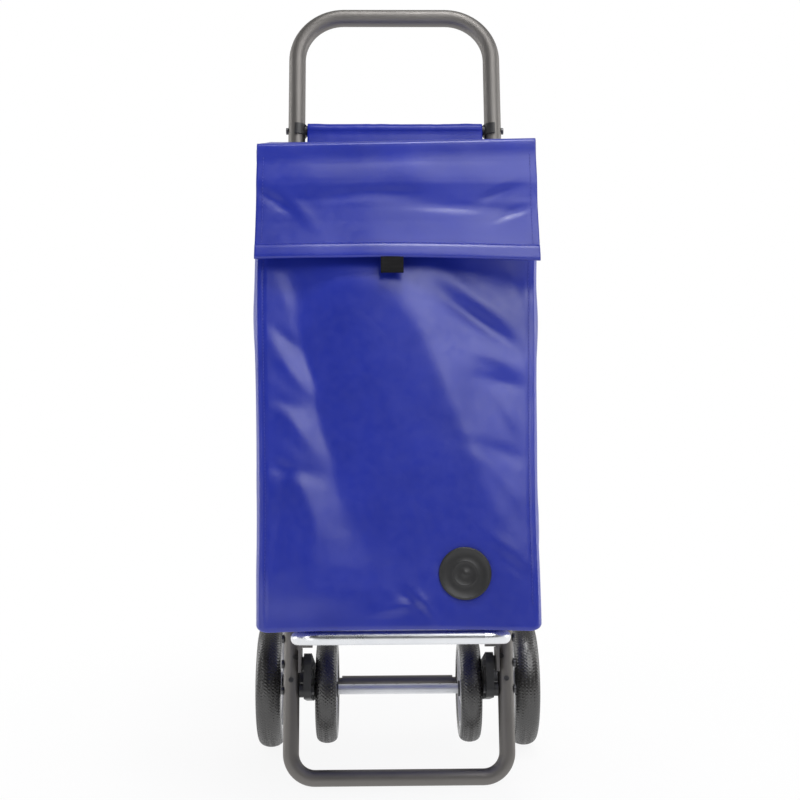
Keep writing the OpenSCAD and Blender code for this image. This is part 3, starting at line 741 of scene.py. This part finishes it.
def make_sleeve():
    """The cloth channel that hangs the bag's back on the crossbar."""
    low, high = local_box("bag_sleeve")
    bar_low, bar_high = local_box("crossbar")
    bar_up = (bar_low[2] + bar_high[2]) / 2
    bar_r = (bar_high[2] - bar_low[2]) / 2
    r = high[2] - bar_up
    # the cloth runs round the bar and down to a foot at the bag's back rim
    foot = np.array([BAG_BACK - 1.2 * MM, BACK_RIM - 12 * MM])
    front_foot, back_foot = foot + [-1.2 * MM, 0], foot + [1.0 * MM, 0]
    turns = np.radians(np.linspace(-38, 205, 30))
    loop = np.column_stack([r * np.cos(turns), bar_up + r * np.sin(turns)])
    share = np.linspace(0, 1, 8)[1:, None]
    front_leg = loop[-1] * (1 - share) + front_foot * share
    back_leg = (back_foot * (1 - share) + loop[0] * share)[:-1]
    outline = np.vstack([loop, front_leg, back_leg])
    outward = outline - [0, bar_up]
    outward /= np.linalg.norm(outward, axis=1)[:, None]
    free_of_foot = np.clip((outline[:, 1:] - foot[1]) / (10 * MM), 0, 1)
    rows = []
    for x in np.linspace(low[0], high[0], 120):
        ring = np.column_stack([np.full(len(outline), x), outline])
        fine = soft_noise(ring * [1.6, 1, 1], 16 * MM, 11) * 0.3 * MM
        broad = soft_noise(ring, 45 * MM, 12) * 0.8 * MM
        ring[:, 1:] += outward * (fine + broad)[:, None] * free_of_foot
        rows.append(ring)
    sleeve = grid_piece("crossbar_sleeve", np.array(rows), closed=True, material=SLEEVE_CLOTH)
    thicken(sleeve, min(CLOTH_THICK, r - bar_r - 1 * MM))
    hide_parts("bag_sleeve")
    x = np.linspace(low[0] + 4 * MM, high[0] - 4 * MM, 90)
    path = np.column_stack([x, np.full_like(x, -r * 0.62), np.full_like(x, bar_up - r * 0.9)])
    stitch_row("sleeve_stitches", path, THREAD, "frame", (0, -0.8, 0.6))


# ---------------------------------------------------------------- the lid

LID_LOW, LID_HIGH = local_box("lid_top")
FLAP_LOW, FLAP_HIGH = local_box("lid_flap")
PIPING_LOW, PIPING_HIGH = local_box("lid_piping")
HINGE = (PIPING_LOW + PIPING_HIGH) / 2
LID_HALF = (LID_HIGH[0] - LID_LOW[0]) / 2
FLAP_BACK = FLAP_HIGH[1]
LID_EDGE_UP = FLAP_HIGH[2]
CREASE_R = 5.5 * MM
LID_THICK = 1.8 * MM
HEM = 17 * MM
# How many rows of the lid's mesh lie on its top, round its front crease and down its flap
TOP_ROWS, CREASE_ROWS, FLAP_ROWS = 60, 12, 56
LID_COLUMNS = 170

# Soft folds of the flap, in the same form as the front's
FLAP_FOLDS = [
    (-140, 668, -35, 26, 7, -2.0),
    (-112, 655, -48, 24, 9, 1.2),
    (-70, 672, 8, 36, 7, -1.4),
    (-8, 676, 0, 46, 7, -1.8),
    (62, 660, -4, 60, 8, -2.0),
    (120, 676, 22, 24, 6, -2.0),
    (132, 652, 20, 26, 6, -2.0),
    (0, 704, 0, 140, 16, 1.6),
]

# How far the flap stands out from flat, in mm, at shares of the way down it
FLAP_PROUD = (
    (0, 0.02, 0.05, 0.09, 0.13, 0.17, 0.24, 0.31, 0.36, 0.42, 0.48, 0.56, 0.68, 0.80, 0.92, 1.0),
    (1.0, 1.4, 0.8, -0.4, -1.0, -0.6, 1.0, 2.8, 3.3, 2.5, 1.7, 2.1, 4.4, 7.6, 11.2, 14.0),
)


def lid_profile():
    """(back, up) points down the lid, from its hinge to its hem."""
    start = HINGE[1:] + [-3.4 * MM, 0.4 * MM]
    corner = np.array([FLAP_BACK - 1.2 * MM, LID_EDGE_UP + 0.5 * MM])
    slope = (corner - start) / np.linalg.norm(corner - start)
    down = np.array([0.0, -1.0])
    bend = math.acos(float(slope @ down))
    setback = CREASE_R * math.tan(bend / 2)
    inward = np.array([slope[1], -slope[0]])
    inward = inward if inward[1] < 0 else -inward
    arc_start = corner - slope * setback
    centre = arc_start + inward * CREASE_R
    points = [start + (arc_start - start) * s for s in np.linspace(0, 1, TOP_ROWS)[:-1]]
    first = math.atan2(*(arc_start - centre)[::-1])
    for s in np.linspace(0, 1, CREASE_ROWS):
        turn = first + bend * s
        points.append(centre + CREASE_R * np.array([math.cos(turn), math.sin(turn)]))
    flap_start = points[-1]
    flap_end = np.array([flap_start[0], FLAP_LOW[2]])
    points += [flap_start + (flap_end - flap_start) * s for s in np.linspace(0, 1, FLAP_ROWS)[1:]]
    return np.array(points)


def lid_surface():
    """The lid's grid of local places, a row for each point of its profile."""
    x = np.linspace(-LID_HALF, LID_HALF, LID_COLUMNS)
    across = 1 - (x / LID_HALF) ** 2
    last_of_top = TOP_ROWS - 1
    rows = []
    for k, (back, up) in enumerate(lid_profile()):
        row = np.column_stack([x, np.full(LID_COLUMNS, back), np.full(LID_COLUMNS, up)])
        forward = min(1.0, k / last_of_top)
        down = 0.0
        if k <= last_of_top:
            middle = math.sin(math.pi * forward)
            sag = 3.0 * MM * middle * across
            row[:, 2] -= sag - soft_noise(row, 60 * MM, 21) * 1.6 * MM * middle
        else:
            down = (LID_EDGE_UP - up) / (LID_EDGE_UP - FLAP_LOW[2])
            proud = np.interp(down, *FLAP_PROUD) * MM - 2.0 * MM * down * (1 - across)
            wave = fold_heights(x / MM, np.full(LID_COLUMNS, up / MM), FLAP_FOLDS) * MM
            wave = wave + soft_noise(row, 48 * MM, 22) * MM
            ease = min(1.0, (k - last_of_top) / 14)
            row[:, 1] -= proud + wave * ease
            row[:, 2] += 1.2 * MM * down * np.cos(x / LID_HALF * 2.6) * ease
            down = max(0.0, down)
        # the front edge sits lower at its left, and the flap hangs level again at its hem
        slope, drop = 3.4 - 4.8 * down, 3.2 - 2.2 * down
        row[:, 2] += (slope * x / LID_HALF - drop) * MM * forward
        row[:, 0] -= 0.7 * HANGS_LEFT * forward
        rows.append(row)
    return np.array(rows)


def hem_band(rows, lift):
    """A folded strip over a sheet's last rows, lifted forward off it, with rounded edges."""
    band = rows.copy()
    rounded = {0: 0.15, 1: 0.8}
    for k in range(len(band)):
        from_edge = min(k, len(band) - 1 - k)
        band[k, :, 1] -= lift * rounded.get(from_edge, 1.0)
    return band


def make_lid():
    """The lid and its flap in one sheet, with its hem, stitches, tab and piping."""
    grid = lid_surface()
    lid = grid_piece("lid", grid, material=CLOTH, body="lid")
    thicken(lid, LID_THICK, offset=0.0)
    length = run_lengths(grid, 0)[-1].mean()
    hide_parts("lid_top", "lid_flap", "lid_hem")
    hem_rows = 8
    band = hem_band(grid[-hem_rows:], LID_THICK / 2 + 0.9 * MM)
    hem = grid_piece("lid_hem_band", band, material=CLOTH, body="lid")
    thicken(hem, 1.0 * MM)
    pieces = [hem]
    hem_row = int(np.argmin(np.abs(grid[:, :, 2].mean(1) - (FLAP_LOW[2] + HEM))))
    inset = 6
    path = grid[hem_row, inset:-inset] - [0, LID_THICK / 2 + 0.3 * MM, 0]
    pieces.append(stitch_row("hem_stitches", path, THREAD, "lid", (0, -1, 0)))
    below_crease = TOP_ROWS + CREASE_ROWS + 2
    for side, column in (("left", 4), ("right", -5)):
        path = grid[below_crease:-inset, column] - [0, LID_THICK / 2 + 0.2 * MM, 0]
        pieces.append(stitch_row(f"lid_edge_stitches_{side}", path, THREAD, "lid", (0, -1, 0)))
    tab = make_tab(grid)
    make_piping()
    for piece in (lid, *pieces, tab):
        goes_flat(piece)


def make_tab(grid):
    """A folded loop of ribbed webbing that hangs below the flap."""
    low, high = local_box("pull_tab")
    x = np.linspace(low[0], high[0], 28)
    middle = int(np.argmin(np.abs(grid[-1, :, 0] - (low[0] + high[0]) / 2)))
    back = grid[-1, middle, 1]
    gap = 1.5 * MM
    top, bottom = FLAP_LOW[2] + 8 * MM, low[2] + gap
    outline = [(back + gap - 0.2 * MM, up) for up in np.linspace(top, bottom, 12)]
    for turn in np.radians(np.linspace(0, -180, 9)[1:-1]):
        outline.append((back + gap * math.cos(turn) - 0.2 * MM, bottom + gap * math.sin(turn)))
    outline += [(back - gap + 0.6 * MM, up) for up in np.linspace(bottom, FLAP_LOW[2] + 0.5 * MM, 10)]
    rows = [np.column_stack([x, np.full(len(x), b), np.full(len(x), u)]) for b, u in outline]
    for row in rows:
        row[:, 1] += soft_noise(row, 14 * MM, 31) * 0.35 * MM
    tab = grid_piece("pull_tab_webbing", np.array(rows), material=WEBBING, body="lid")
    thicken(tab, 1.1 * MM, offset=0.0)
    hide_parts("pull_tab")
    return tab


def make_piping():
    r = (PIPING_HIGH[2] - PIPING_LOW[2]) / 2
    turns = np.linspace(0, 2 * math.pi, 13)[:-1]
    circle = np.column_stack([np.cos(turns), np.sin(turns)])
    rows = []
    for x in np.linspace(PIPING_LOW[0], PIPING_HIGH[0], 110):
        size = r * (1 + 0.05 * math.sin(x / MM * 1.4))
        rows.append(np.column_stack([np.full(len(turns), x), HINGE[1:] + size * circle]))
    piping = grid_piece("hinge_piping", np.array(rows), closed=True, material=CLOTH)
    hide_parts("lid_piping")


# ---------------------------------------------------------------- the tyres


def tyre_ring(width, outer, inner):
    """(radius, across, tread share) points round one tyre's section, from bead to bead."""
    half, wall = width / 2, outer - inner
    quarter = math.pi / 2
    past_widest = 0.12
    crown = wall * 0.62
    arch = []
    for s in np.linspace(-1, 1, 41):
        turn = s * quarter * (1 + past_widest)
        bulge = max(0.0, math.cos(min(abs(turn), quarter))) ** 0.72
        radius = outer - crown + crown * bulge
        if abs(turn) > quarter:
            radius -= wall * 0.2 * (abs(turn) - quarter) / (quarter * past_widest)
        tread = float(smooth_step(0.80 - abs(s), 0, 0.06))
        arch.append((radius, half * math.sin(turn), tread))
    shoulder_r, shoulder, bead = inner + wall * 0.1, half * 0.94, half * 0.86
    near = [(inner, -bead, 0.0), (shoulder_r, -shoulder, 0.0)]
    far = [(shoulder_r, shoulder, 0.0), (inner, bead, 0.0)]
    return near + arch + far


def make_tyre(name, node, body, cells):
    """A tyre whose grooves cross in a net, with this many cells round it."""
    low, high = (np.array(c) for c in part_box(node))
    centre = (low + high) / 2
    outer = (high[2] - low[2]) / 2
    width = high[0] - low[0]
    hub_low, hub_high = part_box(node.replace("tyre", "hub"))
    inner = (hub_high[2] - hub_low[2]) / 2 - 0.2 * MM
    ring = tyre_ring(width, outer, inner)
    steps_per_cell = 5
    segments = cells * steps_per_cell
    groove_depth = 0.8 * MM
    cell_width = 2 * math.pi * outer / cells * 1.15
    vertices, faces = [], []
    for s in range(segments):
        turn = 2 * math.pi * s / segments
        for radius, across, tread in ring:
            phases = [(s / steps_per_cell + sign * across / cell_width) % 1.0 for sign in (-1, 1)]
            nearest = max(abs(phase - 0.5) * 2 for phase in phases)
            cut = 1 - float(smooth_step(1 - nearest, 0.0, 0.42))
            r = radius - groove_depth * cut * tread
            vertices.append(
                (centre[0] + across, centre[1] + r * math.cos(turn), centre[2] + r * math.sin(turn))
            )
    count = len(ring)
    for s in range(segments):
        for k in range(count - 1):
            a, b = s * count + k, (s + 1) % segments * count + k
            faces.append((a, a + 1, b + 1, b))
    tyre = finish_mesh(name, vertices, faces)
    tyre.data.materials.append(RUBBER)
    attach(tyre, body)
    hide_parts(node)


def make_tyres():
    for side in ("left", "right"):
        make_tyre(f"main_treaded_tyre_{side}", f"main_tyre_{side}", f"main_wheel_{side}", 120)
        make_tyre(f"aux_treaded_tyre_{side}", f"aux_tyre_{side}", f"aux_wheel_{side}", 96)


# ---------------------------------------------------------------- camera, lights and floor

CAMERA_SIDE = -0.0227
CAMERA_BEFORE_FOOT = 1.475
CAMERA_HEIGHT = 0.548
CAMERA_YAW = math.radians(-0.97)
CAMERA_PITCH = math.radians(2.78)
CAMERA_ROLL = math.radians(-0.2)
CAMERA_LENS = 54.7

# (name, place, aim, size, watts)
LIGHTS = [
    ("overhead", (0.2, -0.5, 2.8), (0, 0, 0.5), (0.6, 0.4), 22),
    ("sheen", (0.95, -1.45, 2.0), (0, -0.1, 0.5), (1.6, 1.3), 23),
    ("low_fill", (-0.6, -0.95, 0.14), (-0.05, -0.15, 0.3), (0.4, 0.4), 0.5),
    ("left_sheen", (-1.6, -1.3, 1.0), (-0.1, -0.15, 0.35), (0.5, 0.8), 4),
    ("left_edge", (-1.6, 0.5, 0.9), (0, 0.1, 0.5), (0.5, 1.8), 8),
    ("right_edge", (1.6, 0.5, 0.9), (0, 0.1, 0.5), (0.5, 1.8), 8),
]


def make_camera():
    """The camera of the front view, placed from the foot bar."""
    data = bpy.data.cameras.new("camera")
    data.lens = CAMERA_LENS
    data.sensor_width = 36
    camera = bpy.data.objects.new("camera", data)
    bpy.context.scene.collection.objects.link(camera)
    turn = Matrix.Rotation(CAMERA_YAW, 4, "Z") @ Matrix.Rotation(math.pi / 2 - CAMERA_PITCH, 4, "X")
    turn = turn @ Matrix.Rotation(CAMERA_ROLL, 4, "Z")
    spot = Matrix.Translation((CAMERA_SIDE, ORIGIN[1] - CAMERA_BEFORE_FOOT, CAMERA_HEIGHT))
    camera.matrix_world = spot @ turn
    bpy.context.scene.camera = camera


def area_light(name, at, target, size, power):
    """A rectangular lamp at a place, turned towards its target."""
    data = bpy.data.lights.new(name, "AREA")
    data.shape = "RECTANGLE"
    data.size, data.size_y = size
    data.energy = power
    light = bpy.data.objects.new(name, data)
    bpy.context.scene.collection.objects.link(light)
    light.location = at
    light.rotation_euler = (Vector(target) - Vector(at)).to_track_quat("-Z", "Y").to_euler()


def make_world():
    """White to the camera. To everything else bright behind and beside, dim in front and overhead."""
    world = bpy.data.worlds.new("studio")
    bpy.context.scene.world = world
    world.use_nodes = True
    tree = world.node_tree
    tree.nodes.clear()
    where = tree.nodes.new("ShaderNodeTexCoord")
    split = tree.nodes.new("ShaderNodeSeparateXYZ")
    level = tree.nodes.new("ShaderNodeMath")
    level.operation = "MULTIPLY"
    path = tree.nodes.new("ShaderNodeLightPath")
    pick = tree.nodes.new("ShaderNodeMath")
    pick.operation = "MAXIMUM"
    shade = tree.nodes.new("ShaderNodeBackground")
    shade.inputs["Color"].default_value = (1, 1, 1, 1)
    out = tree.nodes.new("ShaderNodeOutputWorld")
    link = tree.links.new
    link(where.outputs["Generated"], split.inputs[0])
    backward = map_range(tree, split.outputs["Y"], (-0.55, 0.25), (0.06, 0.85), smooth=True)
    upward = map_range(tree, split.outputs["Z"], (0.3, 1.0), (1.0, 0.3))
    link(backward, level.inputs[0])
    link(upward, level.inputs[1])
    link(level.outputs[0], pick.inputs[0])
    link(path.outputs["Is Camera Ray"], pick.inputs[1])
    link(pick.outputs[0], shade.inputs["Strength"])
    link(shade.outputs[0], out.inputs["Surface"])


def make_floor():
    """A white floor that is large enough to have no edge in sight."""
    half = 14.0
    steps = 29
    line = np.linspace(-half, half, steps)
    vertices = [(x, y, 0.0) for y in line for x in line]
    faces = [
        (r * steps + c, r * steps + c + 1, (r + 1) * steps + c + 1, (r + 1) * steps + c)
        for r in range(steps - 1)
        for c in range(steps - 1)
    ]
    floor = finish_mesh("floor", vertices, faces, smooth=False)
    made = Recipe("pale_floor", (0.93, 0.93, 0.935), 0.55)
    made.colour_between(made.noise(0.6, 3.0), (0.92, 0.92, 0.925), (0.94, 0.94, 0.945))
    made.glow_from(0.2, 0.9, glow_at_near=0.9)
    floor.data.materials.append(made.material)


def make_studio():
    bpy.context.scene.view_settings.view_transform = "Standard"
    make_world()
    for light in LIGHTS:
        area_light(*light)


make_camera()
finish_cad_nodes()
make_bag()
make_board()
make_studs()
make_badge()
make_sleeve()
make_lid()
make_tyres()
make_floor()
make_studio()
